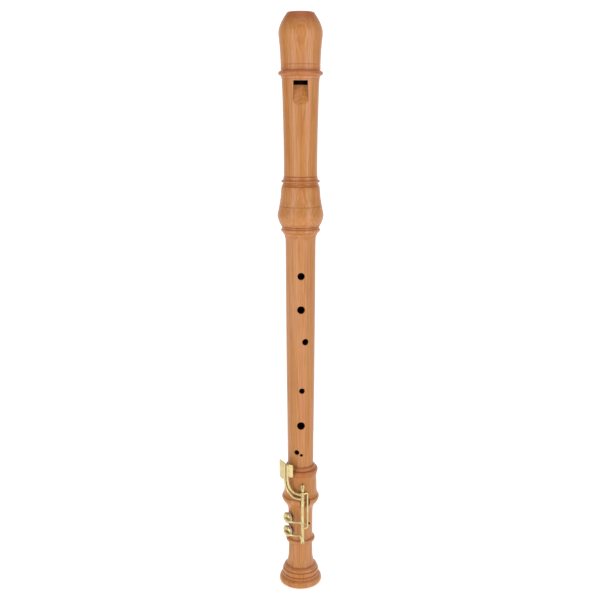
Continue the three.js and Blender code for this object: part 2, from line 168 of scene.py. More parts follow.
# How far below the surface the painted shade of the insides starts, and how dark the painted shadow in a
# pad's seat is
INSIDE_DEPTH = 0.4
END_DEPTH = 0.15
BORE_LIMIT = 11
SEAT_PAINTED_SHADOW = 0.6
NEAR = 0.1

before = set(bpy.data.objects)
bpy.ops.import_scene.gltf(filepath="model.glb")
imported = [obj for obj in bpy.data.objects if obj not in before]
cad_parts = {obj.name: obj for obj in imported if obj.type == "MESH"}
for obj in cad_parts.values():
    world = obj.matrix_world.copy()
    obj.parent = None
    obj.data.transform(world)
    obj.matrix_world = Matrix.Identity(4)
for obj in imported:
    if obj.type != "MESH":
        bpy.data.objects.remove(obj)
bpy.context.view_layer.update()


# ---------------------------------------------------------------- shapes


def around(angle, radius, z=0.0):
    """The point at an angle round the bore, a radius and a height."""
    a = math.radians(angle)
    return Vector((-radius * math.sin(a), -radius * math.cos(a), z))


HINGE = around(HINGE_ANGLE, HINGE_RADIUS)


def catmull(points, t):
    """The point at t, from 0 to 1, on a uniform spline through the points."""
    place = t * (len(points) - 1)
    i = min(int(place), len(points) - 2)
    w = place - i
    p0, p1 = points[max(i - 1, 0)], points[i]
    p2, p3 = points[i + 1], points[min(i + 2, len(points) - 1)]
    start = (p2 - p0) * 0.5
    end = (p3 - p1) * 0.5
    cubic = 2 * p1 - 2 * p2 + start + end
    square = 3 * p2 - 3 * p1 - 2 * start - end
    return cubic * w ** 3 + square * w ** 2 + start * w + p1


def smooth(points, steps):
    """A smooth curve through a few (radius, height) points."""
    corners = [Vector(p) for p in points]
    return [tuple(catmull(corners, i / steps)) for i in range(steps + 1)]


def bead(bottom, top, start_radius, end_radius, crest):
    """A half-round bead that starts and ends at the given radii and stands out to its crest."""
    steps = 14
    points = []
    for i in range(steps + 1):
        t = i / steps
        base = start_radius + (end_radius - start_radius) * t
        swell = math.sin(math.pi * t) ** 0.75
        height = bottom + (top - bottom) * (1 - math.cos(math.pi * t)) / 2
        points.append((base + (crest - base) * swell, height))
    return points


def softened(profile, width=0.25):
    """The closed profile with each sharp corner cut by a short round."""
    result = []
    count = len(profile)
    for i, corner in enumerate(profile):
        here = Vector(corner)
        back = Vector(profile[i - 1]) - here
        on = Vector(profile[(i + 1) % count]) - here
        if back.length < 1e-6 or on.length < 1e-6:
            continue
        if math.degrees(back.angle(on)) > 150:
            result.append(corner)
            continue
        cut = min(width, back.length * 0.4, on.length * 0.4)
        start = here + back.normalized() * cut
        end = here + on.normalized() * cut
        for t in (0, 0.33, 0.67, 1):
            point = start * (1 - t) ** 2 + here * 2 * t * (1 - t) + end * t ** 2
            result.append(tuple(point))
    return result


def in_rows(profile):
    """The closed profile with its long stretches divided, so that faces stay small."""
    result = []
    for i, point in enumerate(profile):
        start, end = Vector(point), Vector(profile[(i + 1) % len(profile)])
        parts = max(1, math.ceil((end - start).length / ROW_LENGTH))
        result += [tuple(start.lerp(end, k / parts)) for k in range(parts)]
    return result


def bridged(bm, first, second):
    """Faces between two rings of vertices. A ring of one vertex is a pole."""
    count = max(len(first), len(second))
    if count == 1:
        return
    for i in range(count):
        j = (i + 1) % count
        corners = [first[i % len(first)], first[j % len(first)]]
        corners += [second[j % len(second)], second[i % len(second)]]
        bm.faces.new(list(dict.fromkeys(corners)))


def turned(profile, sides=WOOD_SIDES):
    """A closed profile of (radius, height) points turned round Z. Points at radius 0 become poles."""
    bm = bmesh.new()
    rings = []
    for radius, z in profile:
        if radius < 1e-6:
            rings.append([bm.verts.new((0, 0, z))])
            continue
        turns = [2 * math.pi * k / sides for k in range(sides)]
        rings.append([bm.verts.new((radius * math.cos(a), radius * math.sin(a), z)) for a in turns])
    for ring, following in zip(rings, rings[1:] + rings[:1]):
        bridged(bm, ring, following)
    return bm


def moved(bm, matrix):
    """The bmesh after a matrix."""
    bmesh.ops.transform(bm, matrix=matrix, verts=bm.verts)
    return bm


def outward(angle, radius, z):
    """The matrix that takes local Z to straight out from the bore, at a place round it."""
    turn = around(angle, 1).to_track_quat("Z", "Y").to_matrix().to_4x4()
    return Matrix.Translation(around(angle, radius, z)) @ turn


def round_bar(radius, bottom, top, sides=METAL_SIDES, edge=0.0):
    """A round bar along Z, with softened ends where edge isn't 0."""
    profile = [(0, bottom), (radius, bottom), (radius, top), (0, top)]
    if edge:
        ends = softened(profile, edge)
        profile = [(0, bottom)] + [p for p in ends if p[0] > radius * 0.5] + [(0, top)]
    return turned(profile, sides)


def radial_bar(angle, z, inner, outer, radius, sides=METAL_SIDES, edge=0.0):
    """A round bar along the bore's radius."""
    return moved(round_bar(radius, 0, outer - inner, sides, edge), outward(angle, inner, z))


def box(width, depth, height):
    """A plain block centred on the origin, for cutting."""
    bm = bmesh.new()
    bmesh.ops.create_cube(bm, size=1)
    bmesh.ops.scale(bm, vec=(width, depth, height), verts=bm.verts)
    return bm


def slab(width, depth, bottom, height):
    """A block that reaches from the middle plane towards the front."""
    return moved(box(width, depth, height), Matrix.Translation((0, -depth / 2, bottom + height / 2)))


def across(outline, width):
    """A (y, z) outline with a width along X."""
    bm = bmesh.new()
    sides = [[bm.verts.new((x, y, z)) for y, z in outline] for x in (-width / 2, width / 2)]
    bridged(bm, *sides)
    bm.faces.new(sides[0])
    bm.faces.new(list(reversed(sides[1])))
    return bm


def curved_plate(start, end, bottom, top, thickness, corner=0.0, edge=0.0):
    """A plate round the bore between two (angle, outer radius) ends, with round corners and soft edges."""
    columns, rows = 16, 18
    length = math.radians(abs(end[0] - start[0])) * (start[1] + end[1]) / 2
    half_length, half_height = length / 2, (top - bottom) / 2

    def spot(u, v, inset, depth):
        """u and v run from -1 to 1 over the plate. Inset shrinks it, and depth is below its outer face."""
        height = half_height - inset
        rounding = max(corner - inset, 0)
        up = height * math.sin(v * math.pi / 2)
        beyond = max(abs(up) - (height - rounding), 0)
        side = half_length - inset - rounding + math.sqrt(max(rounding ** 2 - beyond ** 2, 0))
        share = (side * u / half_length + 1) / 2
        angle = start[0] + (end[0] - start[0]) * share
        radius = start[1] + (end[1] - start[1]) * share
        return around(angle, radius - depth, (bottom + top) / 2 + up)

    rim = [(i, 0) for i in range(columns)] + [(columns, j) for j in range(rows)]
    rim += [(columns - i, rows) for i in range(columns)] + [(0, rows - j) for j in range(rows)]
    bm = bmesh.new()

    def face_grid(inset, depth):
        grid = {}
        for i in range(columns + 1):
            for j in range(rows + 1):
                grid[i, j] = bm.verts.new(spot(2 * i / columns - 1, 2 * j / rows - 1, inset, depth))
        for i in range(columns):
            for j in range(rows):
                bm.faces.new([grid[i, j], grid[i + 1, j], grid[i + 1, j + 1], grid[i, j + 1]])
        return [grid[place] for place in rim]

    def edge_ring(inset, depth):
        return [bm.verts.new(spot(2 * i / columns - 1, 2 * j / rows - 1, inset, depth)) for i, j in rim]

    layers = [face_grid(edge, 0)]
    if edge:
        rounded = [(edge * (1 - math.sqrt(1 - (1 - share) ** 2)), edge * share) for share in EDGE_SHARES]
        layers += [edge_ring(inset, depth) for inset, depth in rounded]
        layers += [edge_ring(inset, thickness - depth) for inset, depth in reversed(rounded)]
    layers.append(face_grid(edge, thickness))
    for layer, following in zip(layers, layers[1:]):
        bridged(bm, layer, following)
    return bm


def swept_bar(points, radius, steps, flare_start, flare_end):
    """A round bar bent smoothly through the points. A flare is how much it swells into what it joins."""
    corners = [Vector(p) for p in points]
    path = [catmull(corners, i / steps) for i in range(steps + 1)]
    total = sum((b - a).length for a, b in zip(path, path[1:]))
    bm = bmesh.new()
    rings = []
    gone = 0.0
    tangent = (path[1] - path[0]).normalized()
    side = tangent.orthogonal().normalized()
    for i, point in enumerate(path):
        onward = (path[min(i + 1, steps)] - path[max(i - 1, 0)]).normalized()
        side = (tangent.rotation_difference(onward) @ side).normalized()
        tangent = onward
        if i:
            gone += (point - path[i - 1]).length
        swell = flare_start * math.exp(-(gone / FLARE_LENGTH) ** 2)
        swell += flare_end * math.exp(-((total - gone) / FLARE_LENGTH) ** 2)
        up = tangent.cross(side)
        turns = [2 * math.pi * k / BAR_SIDES for k in range(BAR_SIDES)]
        spokes = [side * math.cos(a) + up * math.sin(a) for a in turns]
        rings.append([bm.verts.new(point + spoke * (radius + swell)) for spoke in spokes])
    caps = [[bm.verts.new(path[0])], [bm.verts.new(path[-1])]]
    for ring, following in zip([caps[0]] + rings, rings + [caps[1]]):
        bridged(bm, ring, following)
    return bm


def temporary(bm):
    """A throwaway object that holds a bmesh for a boolean, and uses the bmesh up."""
    bmesh.ops.recalc_face_normals(bm, faces=bm.faces)
    mesh = bpy.data.meshes.new("temporary")
    bm.to_mesh(mesh)
    bm.free()
    holder = bpy.data.objects.new("temporary", mesh)
    bpy.context.scene.collection.objects.link(holder)
    return holder


def cleaned(bm):
    """The bmesh without a boolean's slivers, and with its many-sided faces cut into triangles."""
    bmesh.ops.remove_doubles(bm, verts=bm.verts, dist=SLIVER)
    bmesh.ops.dissolve_degenerate(bm, dist=SLIVER, edges=bm.edges)
    bmesh.ops.triangulate(bm, faces=[face for face in bm.faces if len(face.verts) > 4])
    bmesh.ops.dissolve_degenerate(bm, dist=SLIVER, edges=bm.edges)
    return bm


def combined(base, tools, operation):
    """The base after a boolean with each tool in turn. All the bmeshes given are used up."""
    carrier = temporary(base)
    holders = [temporary(tool) for tool in tools]
    for holder in holders:
        step = carrier.modifiers.new("tool", "BOOLEAN")
        step.solver = "EXACT"
        step.operation = operation
        step.object = holder
    result = bmesh.new()
    result.from_object(carrier, bpy.context.evaluated_depsgraph_get())
    for holder in [carrier] + holders:
        bpy.data.meshes.remove(holder.data)
    return cleaned(result)


def cut(base, tools):
    return combined(base, tools, "DIFFERENCE")


def join(base, others):
    return combined(base, others, "UNION")


# ---------------------------------------------------------------- materials


def node(tree, kind, inputs=(), **settings):
    """A shader node with its settings and its inputs' plain values."""
    made = tree.nodes.new(kind)
    for key, value in settings.items():
        setattr(made, key, value)
    for name, value in dict(inputs).items():
        made.inputs[name].default_value = value
    return made


def srgb(red, green, blue):
    """A colour seen on a screen, 0 to 255, as linear values."""
    values = [c / 255 for c in (red, green, blue)]
    return tuple(v / 12.92 if v <= 0.04045 else ((v + 0.055) / 1.055) ** 2.4 for v in values) + (1,)


def new_material(name, **values):
    """A material with one Principled shader, whose plain values are set on its own sockets."""
    material = bpy.data.materials.new(name)
    material.use_nodes = True
    shader = material.node_tree.nodes["Principled BSDF"]
    for key, value in values.items():
        shader.inputs[key.replace("_", " ")].default_value = value
    return material, material.node_tree, shader


def stretched(tree, scale, shift=(0, 0, 0)):
    """Object coordinates, scaled and shifted."""
    place = node(tree, "ShaderNodeTexCoord")
    mapping = node(tree, "ShaderNodeMapping", {"Scale": scale, "Location": shift})
    tree.links.new(place.outputs["Object"], mapping.inputs["Vector"])
    return mapping.outputs["Vector"]


def noise(tree, vector, scale, detail=2.0, roughness=0.5, distortion=0.0):
    made = node(tree, "ShaderNodeTexNoise", {
        "Scale": scale, "Detail": detail, "Roughness": roughness, "Distortion": distortion})
    tree.links.new(vector, made.inputs["Vector"])
    return made.outputs["Fac"]


def ramp(tree, value, stops):
    """A colour for each value, from a few (place, colour) stops."""
    made = node(tree, "ShaderNodeValToRGB")
    band = made.color_ramp
    band.elements[0].position, band.elements[0].color = stops[0]
    band.elements[1].position, band.elements[1].color = stops[-1]
    for place, colour in stops[1:-1]:
        band.elements.new(place).color = colour
    tree.links.new(value, made.inputs["Fac"])
    return made.outputs["Color"]


def mixed(tree, factor, first, second, blend="MIX"):
    """Two colours mixed. The factor may be a number or a socket."""
    made = node(tree, "ShaderNodeMix", data_type="RGBA", blend_type=blend)
    if isinstance(factor, (int, float)):
        made.inputs["Factor"].default_value = factor
    else:
        tree.links.new(factor, made.inputs["Factor"])
    for name, colour in (("A", first), ("B", second)):
        socket = next(s for s in made.inputs if s.name == name and s.type == "RGBA")
        if isinstance(colour, tuple):
            socket.default_value = colour
        else:
            tree.links.new(colour, socket)
    return next(s for s in made.outputs if s.type == "RGBA")


def mapped(tree, value, low, high):
    """A value from 0 to 1 brought between low and high."""
    made = node(tree, "ShaderNodeMapRange", {"To Min": low, "To Max": high})
    tree.links.new(value, made.inputs["Value"])
    return made.outputs["Result"]


def bumped(tree, shader, height, distance, strength):
    made = node(tree, "ShaderNodeBump", {"Distance": distance, "Strength": strength})
    tree.links.new(height, made.inputs["Height"])
    tree.links.new(made.outputs["Normal"], shader.inputs["Normal"])


def wood_material(name, shift, pith):
    """Oiled pale fruitwood: long streaks of tan, pink and orange, fine rings round the pith, and short pores.

    Grooves get painted shade with a redder stain, and the insides of the bore and the holes get painted
    shade, nearly black, over wood that oil also darkens.
    """
    material, tree, shader = new_material(name, Roughness=0.42, Specular_IOR_Level=0.4)
    streaks = noise(tree, stretched(tree, (1, 1, 0.03), shift), 230, 3, 0.55, 0.4)
    tone = ramp(tree, streaks, [
        (0.30, srgb(194, 124, 86)), (0.41, srgb(198, 142, 88)), (0.5, srgb(176, 112, 56)),
        (0.58, srgb(192, 134, 66)), (0.70, srgb(176, 96, 30))])
    patches = noise(tree, stretched(tree, (1, 1, 0.2), shift), 34, 2, 0.5, 0.6)
    blush = ramp(tree, patches, [
        (0.35, srgb(194, 132, 92)), (0.5, srgb(184, 122, 66)), (0.66, srgb(178, 104, 36))])
    tone = mixed(tree, 0.35, tone, blush)
    rings = node(tree, "ShaderNodeTexWave", {
        "Scale": 170, "Distortion": 3.5, "Detail": 2, "Detail Scale": 0.5,
    }, wave_type="RINGS", rings_direction="Z")
    centre = (-pith[0], -pith[1], shift[2])
    tree.links.new(stretched(tree, (1, 1, 0.02), centre), rings.inputs["Vector"])
    ring_tone = ramp(tree, rings.outputs["Fac"], [(0.1, (0.84, 0.76, 0.68, 1)), (0.6, (1, 1, 1, 1))])
    tone = mixed(tree, 0.5, tone, ring_tone, "MULTIPLY")
    fibres = noise(tree, stretched(tree, (1, 1, 0.05), shift), 1900, 4, 0.6)
    fibre_tone = ramp(tree, fibres, [(0.36, (0.80, 0.72, 0.66, 1)), (0.52, (1, 1, 1, 1))])
    tone = mixed(tree, 0.5, tone, fibre_tone, "MULTIPLY")
    # 'groove' carries painted shade in the grooves with a redder stain, and 'inside' carries the painted
    # shade of the bore, the socket and the hole walls
    for attribute, shade in (("groove", srgb(148, 62, 20)), ("inside", srgb(44, 24, 14))):
        mark = node(tree, "ShaderNodeAttribute", attribute_name=attribute)
        tone = mixed(tree, mark.outputs["Fac"], tone, shade)
    tree.links.new(tone, shader.inputs["Base Color"])
    tree.links.new(mapped(tree, fibres, 0.3, 0.44), shader.inputs["Roughness"])
    bumped(tree, shader, fibres, 0.00005, 0.5)
    return material


def cedar_material():
    """The block's plain red-brown softwood."""
    material, tree, shader = new_material("cedar", Roughness=0.65)
    grain = noise(tree, stretched(tree, (1, 1, 0.05)), 420, 3, 0.5, 0.4)
    tone = ramp(tree, grain, [
        (0.35, srgb(134, 78, 46)), (0.5, srgb(166, 102, 64)), (0.65, srgb(182, 120, 80))])
    tree.links.new(tone, shader.inputs["Base Color"])
    bumped(tree, shader, grain, 0.0001, 0.5)
    return material


def cork_material():
    """Tan cork with dark flecks and small pits."""
    material, tree, shader = new_material("cork", Roughness=0.9, Specular_IOR_Level=0.2)
    place = stretched(tree, (1, 1, 1))
    cells = node(tree, "ShaderNodeTexVoronoi", {"Scale": 1300, "Randomness": 1})
    tree.links.new(place, cells.inputs["Vector"])
    tone = ramp(tree, cells.outputs["Distance"], [(0.1, srgb(196, 152, 104)), (0.8, srgb(168, 122, 78))])
    flecks = ramp(tree, noise(tree, place, 520, 4, 0.7), [(0.36, srgb(96, 62, 38)), (0.45, (1, 1, 1, 1))])
    tone = mixed(tree, 0.7, tone, flecks, "MULTIPLY")
    tree.links.new(tone, shader.inputs["Base Color"])
    bumped(tree, shader, cells.outputs["Distance"], 0.0001, 0.6)
    return material


def brass_material():
    """Pale polished brass with faint tarnish and a fine brushed surface."""
    material, tree, shader = new_material("brass", Metallic=1.0, Roughness=0.25)
    tarnish = noise(tree, stretched(tree, (1, 1, 1)), 160, 3, 0.6)
    tone = ramp(tree, tarnish, [
        (0.35, srgb(198, 178, 124)), (0.55, srgb(213, 195, 143)), (0.75, srgb(221, 207, 160))])
    brushed = noise(tree, stretched(tree, (1, 1, 0.2), (0.3, 0.1, 0)), 2600, 2, 0.6)
    tree.links.new(tone, shader.inputs["Base Color"])
    tree.links.new(mapped(tree, brushed, 0.26, 0.42), shader.inputs["Roughness"])
    bumped(tree, shader, brushed, 0.00001, 0.4)
    return material


def steel_material():
    """Grey steel with a fine drawn surface."""
    material, tree, shader = new_material("steel", Metallic=1.0, Roughness=0.3)
    drawn = noise(tree, stretched(tree, (1, 1, 0.05)), 3000, 2, 0.6)
    tone = ramp(tree, drawn, [(0.3, srgb(140, 136, 128)), (0.7, srgb(176, 172, 162))])
    tree.links.new(tone, shader.inputs["Base Color"])
    tree.links.new(mapped(tree, drawn, 0.3, 0.45), shader.inputs["Roughness"])
    return material


def leather_material():
    """Cream kid leather with fine creases."""
    material, tree, shader = new_material(
        "pad_leather", Roughness=0.7, Specular_IOR_Level=0.3, Sheen_Weight=0.15)
    place = stretched(tree, (1, 1, 1))
    creases = noise(tree, place, 1500, 4, 0.65, 0.8)
    tone = ramp(tree, creases, [(0.35, srgb(226, 206, 184)), (0.6, srgb(246, 232, 216))])
    tree.links.new(tone, shader.inputs["Base Color"])
    bumped(tree, shader, creases, 0.00008, 0.5)
    return material


def felt_material():
    """Dark green felt with a soft, uneven nap."""
    material, tree, shader = new_material("felt", Roughness=1.0, Specular_IOR_Level=0.1, Sheen_Weight=0.1)
    nap = noise(tree, stretched(tree, (1, 1, 1)), 2400, 4, 0.7)
    tone = ramp(tree, nap, [(0.35, srgb(32, 34, 20)), (0.65, srgb(58, 58, 38))])
    tree.links.new(tone, shader.inputs["Base Color"])
    bumped(tree, shader, nap, 0.0002, 0.7)
    return material


HEAD_WOOD = wood_material("wood_head", (0.31, 0.12, 0.02), (0.0015, -0.05))
MIDDLE_WOOD = wood_material("wood_middle", (0.05, 0.27, 0.4), (0.06, -0.045))
FOOT_WOOD = wood_material("wood_foot", (0.62, 0.44, 0.11), (-0.05, -0.05))
CEDAR = cedar_material()
CORK = cork_material()
BRASS = brass_material()
STEEL = steel_material()
LEATHER = leather_material()
FELT = felt_material()


# ---------------------------------------------------------------- pieces


def piece(node_name, bm, material, body):
    """The piece that stands for one CAD node, made from a bmesh in millimetres that it uses up."""
    bmesh.ops.recalc_face_normals(bm, faces=bm.faces)
    bmesh.ops.scale(bm, vec=(MM, MM, MM), verts=bm.verts)
    mesh = bpy.data.meshes.new(node_name + "_visual")
    bm.to_mesh(mesh)
    bm.free()
    mesh.polygons.foreach_set("use_smooth", [True] * len(mesh.polygons))
    mesh.set_sharp_from_angle(angle=math.radians(SHARP_ANGLE))
    mesh.materials.append(material)
    made = bpy.data.objects.new(node_name + "_visual", mesh)
    bpy.context.scene.collection.objects.link(made)
    even = made.modifiers.new("even_shading", "WEIGHTED_NORMAL")
    even.keep_sharp = True
    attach(made, body)
    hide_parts(node_name)
    return made


def paint_groove_shade(wood, grooves):
    """Writes how much painted shade with a redder stain each vertex gets in the grooves and zones of the
    turning. A groove is (height, half width, strength).
    """
    attribute = wood.data.attributes.new("groove", "FLOAT", "POINT")
    values = []
    for vertex in wood.data.vertices:
        z = vertex.co.z / MM
        values.append(max(s * math.exp(-((z - height) / width) ** 2) for height, width, s in grooves))
    attribute.data.foreach_set("value", values)


def paint_inside_shade(wood, outside, cut_shade=None):
    """Paints shade on the vertices below a joint's outside, such as its bore, its socket and the walls of its
    holes, over wood that oil also darkens.

    The joint's end faces stay plain. cut_shade gives how much painted shade a place on a worked outer face
    gets.
    """
    bottom, top = outside[0][1], outside[-1][1]
    attribute = wood.data.attributes.new("inside", "FLOAT", "POINT")
    values = []
    for vertex in wood.data.vertices:
        place = vertex.co / MM
        on_end = min(abs(place.z - bottom), abs(place.z - top)) < END_DEPTH
        skin = surface_radius(outside, place.z) - INSIDE_DEPTH if bottom <= place.z <= top else BORE_LIMIT
        if on_end or math.hypot(place.x, place.y) > skin:
            values.append(0.0)
        else:
            values.append(cut_shade(place) if cut_shade else 1.0)
    attribute.data.foreach_set("value", values)


HEAD_OUTSIDE = (
    smooth([(22.9, HEAD_BOTTOM + END_GAP), (21.4, 451), (20.9, 458), (20.4, 462.7)], 12)
    + [(19.8, 463.1), (19.7, 463.7)]
    + smooth([(20, 463.9), (19, 465.2), (18.6, 466.9)], 8)
    + bead(467.1, 469.9, 18.9, 18.4, 20.6)
    + [(18.3, 472.9), (17.6, 473.6)]
    + smooth([(17.8, 474.6), (17.75, 492), (18.2, 522), (19, 555), (19.75, 573.2)], 50)
    + [(19.65, 573.5), (19.85, 573.8)]
    + smooth([(19.85, 573.8), (20.1, 575.2), (20.6, 576.6)], 6)[1:]
    + bead(577.2, 581.8, 20.9, 20.9, 23.4)
    + smooth([(20.6, 582.6), (20.8, 585), (20.75, 587.8)], 8)
    + [(20.5, 588.2), (20.75, 588.6)]
    + smooth([(20.75, 588.6), (21.1, 597), (21.8, 607), (22.9, 617)], 24)[1:]
    + smooth([(22.9, 617), (22.8, 621.6), (21.6, 626.5), (18.9, 632.4), (14.7, 639.2)], 32)[1:]
    + [(13.9, LENGTH)]
)

MIDDLE_OUTSIDE = (
    smooth([(14.5, FOOT_TOP + END_GAP), (14.8, 180), (15.5, 255), (16, 331), (16.2, 392), (16.4, 407)], 60)
    + [(17.8, 411.6), (19.2, 413.7)]
    + bead(414.4, 417.9, 19.6, 19.9, 21)
    + [(20.1, 419.9), (19.8, 420.4), (21.2, 420.9), (21.4, 422.4)]
    + smooth([(22.3, 423.1), (24.7, 431.6), (22.9, HEAD_BOTTOM - END_GAP)], 24)
)

FOOT_OUTSIDE = (
    smooth([(22, 0), (23.7, 1.2), (24.4, 3.4), (23.6, 6.6), (21.5, 8.4)], 16)
    + [(21.2, 11.6)]
    + bead(11.9, 17.2, 20.3, 19.3, 20.7)
    + smooth([(19.7, 17.6), (18.6, 20.4), (15.9, 22)], 8)
    + smooth([(15.6, 22.4), (14.1, 32), (13.7, 44), (13.6, 51)], 16)
    + bead(51.8, 56.6, 14.2, 15.2, 16.7)
    + smooth([(15.4, 57), (13.9, 60.5), (13.9, 75), (14, 88), (14.8, 94.5), (17.6, 99.6)], 36)
    + smooth([(17.6, 99.6), (19.4, 101.9), (20.8, 104.4), (21.3, 106.8), (20.7, 108.8)], 20)[1:]
    + [(20, 109.3)]
    + smooth([(20.3, 109.8), (18.7, 114), (18.4, 126), (18.1, 131), (18.9, 137)], 24)
    + bead(137.6, 142.8, 18.9, 17.6, 19.7)
    + smooth([(17.2, 143.2), (16.7, 145.4), (14.8, FOOT_TOP)], 8)
)

# Painted shade with a redder stain on the lines, grooves and zones of the turned wood, as (height, half
# width, strength)
HEAD_GROOVES = [
    (463.4, 0.5, 0.8), (466.9, 0.6, 0.6), (467, 6, 0.25), (470.2, 0.4, 0.4), (473.6, 0.6, 0.7),
    (573.6, 0.3, 0.4), (576.7, 0.6, 0.6), (579.4, 2.4, 0.4), (582.4, 0.6, 0.9), (583.5, 1.8, 0.35),
    (588.2, 0.3, 0.6), (629.3, 0.4, 0.3), (636, 6, 0.6), (LENGTH, 0.7, 0.9),
]
MIDDLE_GROOVES = [
    (409.6, 1.1, 0.25), (413.9, 0.7, 0.6), (418.1, 0.5, 0.4), (420.3, 0.6, 0.9), (422.7, 0.5, 0.4),
]
FOOT_GROOVES = [
    (8.9, 0.7, 0.8), (11.8, 0.5, 0.5), (17.5, 0.5, 0.7), (22.1, 0.6, 0.5), (51.9, 0.8, 0.7),
    (56.8, 0.8, 0.4), (109.3, 0.6, 0.8), (137.3, 0.7, 0.7), (141, 5, 0.4), (143, 0.7, 0.8),
    (FOOT_TOP, 0.9, 0.6),
]


def surface_radius(outside, z):
    """The radius of a joint's outside at a height."""
    for (r0, z0), (r1, z1) in zip(outside, outside[1:]):
        if z0 <= z <= z1 and z1 > z0:
            return r0 + (r1 - r0) * (z - z0) / (z1 - z0)
    return outside[-1][0]


def beak_axis():
    """Where the axis of the beak's cut crosses the middle plane, as (y, z)."""
    tip = Vector((-BEAK_TIP_DEPTH, LENGTH))
    back = Vector((BEAK_BACK, LENGTH - BEAK_LENGTH))
    chord = back - tip
    rise = math.sqrt(BEAK_RADIUS ** 2 - chord.length_squared / 4)
    return (tip + back) / 2 + Vector((-chord.y, chord.x)).normalized() * rise


def beak_cutter():
    """The concave cut at the back of the beak: a large cylinder across the instrument."""
    centre = beak_axis()
    bar = round_bar(BEAK_RADIUS, -CUTTER_REACH, CUTTER_REACH, 240)
    turn = Matrix.Translation((0, centre.x, centre.y)) @ Matrix.Rotation(math.pi / 2, 4, "Y")
    return moved(bar, turn)


def window_cutter():
    """The window and the ramp below its lip. The ramp grows wider towards its foot."""
    outside = -CUTTER_REACH
    cutter = across([
        (outside, WINDOW_TOP), (-WINDOW_FLOOR, WINDOW_TOP), (-WINDOW_FLOOR, WINDOW_BOTTOM),
        (-LIP_DEPTH, WINDOW_BOTTOM), (-RAMP_FOOT_DEPTH, RAMP_BOTTOM), (outside, RAMP_BOTTOM),
        (outside, WINDOW_BOTTOM),
    ], WINDOW_WIDTH)
    for vertex in cutter.verts:
        if vertex.co.z < WINDOW_BOTTOM - 1:
            vertex.co.x *= RAMP_FOOT_WIDTH / WINDOW_WIDTH
    return cutter


def head_cut_shade(place):
    """The painted shade of a place: 0 on the ramp below the window and on the cut at the back of the beak,
    and 1 inside the head.
    """
    on_ramp = RAMP_BOTTOM - 1 < place.z < WINDOW_BOTTOM + NEAR and place.y < NEAR - LIP_DEPTH
    from_axis = (Vector((place.y, place.z)) - beak_axis()).length
    return 0.0 if on_ramp or abs(from_axis - BEAK_RADIUS) < NEAR else 1.0


def head_joint():
    """The head: its turned wall, cut by the windway, the window and the beak."""
    shoulder = HEAD_BOTTOM + TENON + UPPER_SOCKET_ROOM
    inside = [
        (HEAD_BORE, LENGTH), (HEAD_BORE, shoulder),
        (UPPER_SOCKET, shoulder), (UPPER_SOCKET, HEAD_BOTTOM + END_GAP),
    ]
    wall = turned(in_rows(softened(HEAD_OUTSIDE + inside)))
    windway = slab(WINDWAY_WIDTH, WINDWAY_ROOF, WINDOW_TOP, LENGTH - WINDOW_TOP + 2)
    made = piece("head_joint", cut(wall, [windway, window_cutter(), beak_cutter()]), HEAD_WOOD, "head")
    paint_groove_shade(made, HEAD_GROOVES)
    paint_inside_shade(made, HEAD_OUTSIDE, head_cut_shade)


def block():
    """The plug in the head: a round body with a raised flat that makes the windway's floor."""
    bottom = WINDOW_TOP + BLOCK_END_GAP
    body = round_bar(BLOCK_RADIUS, bottom, LENGTH, WOOD_SIDES)
    floor = slab(WINDWAY_WIDTH - BLOCK_SIDE_GAP, WINDWAY_FLOOR, bottom, LENGTH - bottom)
    piece("block", cut(join(body, [floor]), [beak_cutter()]), CEDAR, "head")


# Each hole's angle, height and radius. The last is the thumb hole.
FINGER_HOLES = [
    (-2, 367.7, 3.9), (-2, 330.6, 4.2), (-20, 294.4, 3.6), (-6, 238.2, 3.1), (-2, 197.2, 4.4),
    (17, 165.2, 2.8), (-4, 162, 1.6), (180, 392, 3.4),
]


def hole_tool(angle, z, radius, outside):
    """A plug for a finger hole, whose mouth flares to follow the round body and leaves a rounded rim."""
    sides = 40
    out = around(angle, 1)
    tangent = Vector((out.y, -out.x, 0))
    steps = [(0.0, None)]
    for k in range(7):
        a = math.radians(15 * k)
        steps.append((HOLE_ROUNDING * (1 - math.cos(a)), HOLE_ROUNDING * (1 - math.sin(a))))
    steps.append((HOLE_ROUNDING + 1, -2))
    bm = bmesh.new()
    rings = []
    for wider, below in steps:
        ring = []
        for k in range(sides):
            turn = 2 * math.pi * k / sides
            along = (radius + wider) * math.cos(turn)
            height = z + (radius + wider) * math.sin(turn)
            surface = math.sqrt(surface_radius(outside, height) ** 2 - along ** 2)
            reach = FINGER_HOLE_START if below is None else surface - below
            ring.append(bm.verts.new(out * reach + tangent * along + Vector((0, 0, height))))
        rings.append(ring)
    for ring, following in zip(rings, rings[1:]):
        bridged(bm, ring, following)
    bm.faces.new(rings[0])
    bm.faces.new(rings[-1])
    return bm


def tenon(end, shoulder, socket):
    """A tenon's outline from its open end to its shoulder, with the groove for its cork."""
    side = 1 if shoulder > end else -1
    rim = socket - TENON_CLEARANCE
    floor = socket - 2 * CORK_CLEARANCE - CORK_THICKNESS
    first = end + side * (CORK_INSET - CORK_CLEARANCE)
    last = end + side * (CORK_INSET + CORK_LENGTH + CORK_CLEARANCE)
    return [(rim, end), (rim, first), (floor, first), (floor, last), (rim, last), (rim, shoulder)]


def middle_joint():
    top = HEAD_BOTTOM + TENON
    bottom = FOOT_TOP - TENON
    outline = (
        tenon(bottom, FOOT_TOP + END_GAP, LOWER_SOCKET)
        + MIDDLE_OUTSIDE
        + list(reversed(tenon(top, HEAD_BOTTOM - END_GAP, UPPER_SOCKET)))
        + [(MIDDLE_BORE_TOP, top), (MIDDLE_BORE_BOTTOM, bottom)]
    )
    wall = turned(in_rows(softened(outline)))
    holes = [hole_tool(angle, z, radius, MIDDLE_OUTSIDE) for angle, z, radius in FINGER_HOLES]
    made = piece("middle_joint", cut(wall, holes), MIDDLE_WOOD, "middle")
    paint_groove_shade(made, MIDDLE_GROOVES)
    paint_inside_shade(made, MIDDLE_OUTSIDE)


